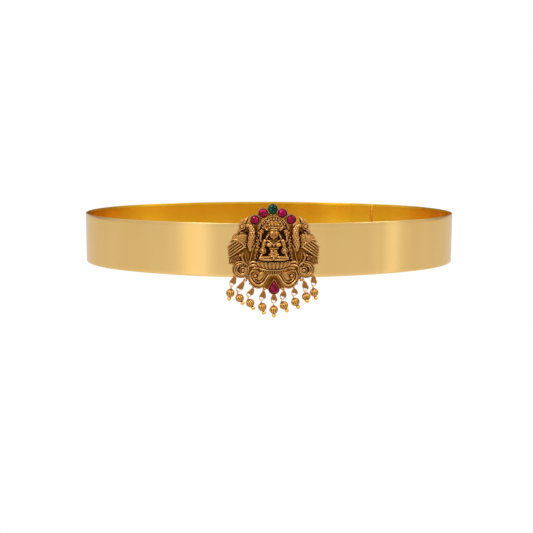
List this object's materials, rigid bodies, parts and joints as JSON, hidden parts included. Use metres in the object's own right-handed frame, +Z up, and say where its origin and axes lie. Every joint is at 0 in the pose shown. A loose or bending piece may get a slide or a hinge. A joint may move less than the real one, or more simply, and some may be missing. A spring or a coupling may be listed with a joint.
{
  "type": "oddiyanam waist belt",
  "caption": "Stiff oval waist belt of thin gilt sheet, with a cast temple centrepiece: a seated goddess, peacocks, red and green stones, and hanging beads.",
  "frame": {"origin": "middle of the waist hoop, half way up the sheet", "axes": "+Z up, -Y to the front where the centrepiece is, +X to the viewer's right"},
  "size_m": [0.1775, 0.1404, 0.0484],
  "materials": {
    "satin_gold": "thin polished sheet, pale gold plate, satin",
    "antique_gold": "cast, antique gold plate with dark brown recesses",
    "bright_gold": "bright yellow gold plate, polished",
    "ruby": "cut deep pink-red glass stone, polished",
    "emerald": "cut deep green glass stone, polished"
  },
  "bodies": {
    "root": {"band": "satin_gold", "clasp_stud": "satin_gold", "plaque": "antique_gold", "emerald": "emerald", "pear_ruby": "ruby", "ruby_1": "ruby", "ruby_2": "ruby", "ruby_3": "ruby", "ruby_4": "ruby", "bead_1": "antique_gold", "bead_2": "antique_gold", "bead_3": "antique_gold", "bead_4": "antique_gold", "bead_5": "antique_gold", "bead_6": "antique_gold", "bead_7": "antique_gold", "bead_8": "antique_gold", "bead_9": "antique_gold", "headpin_1": "bright_gold", "headpin_2": "bright_gold", "headpin_3": "bright_gold", "headpin_4": "bright_gold", "headpin_5": "bright_gold", "headpin_6": "bright_gold", "headpin_7": "bright_gold", "headpin_8": "bright_gold", "headpin_9": "bright_gold"}
  },
  "joints": []
}
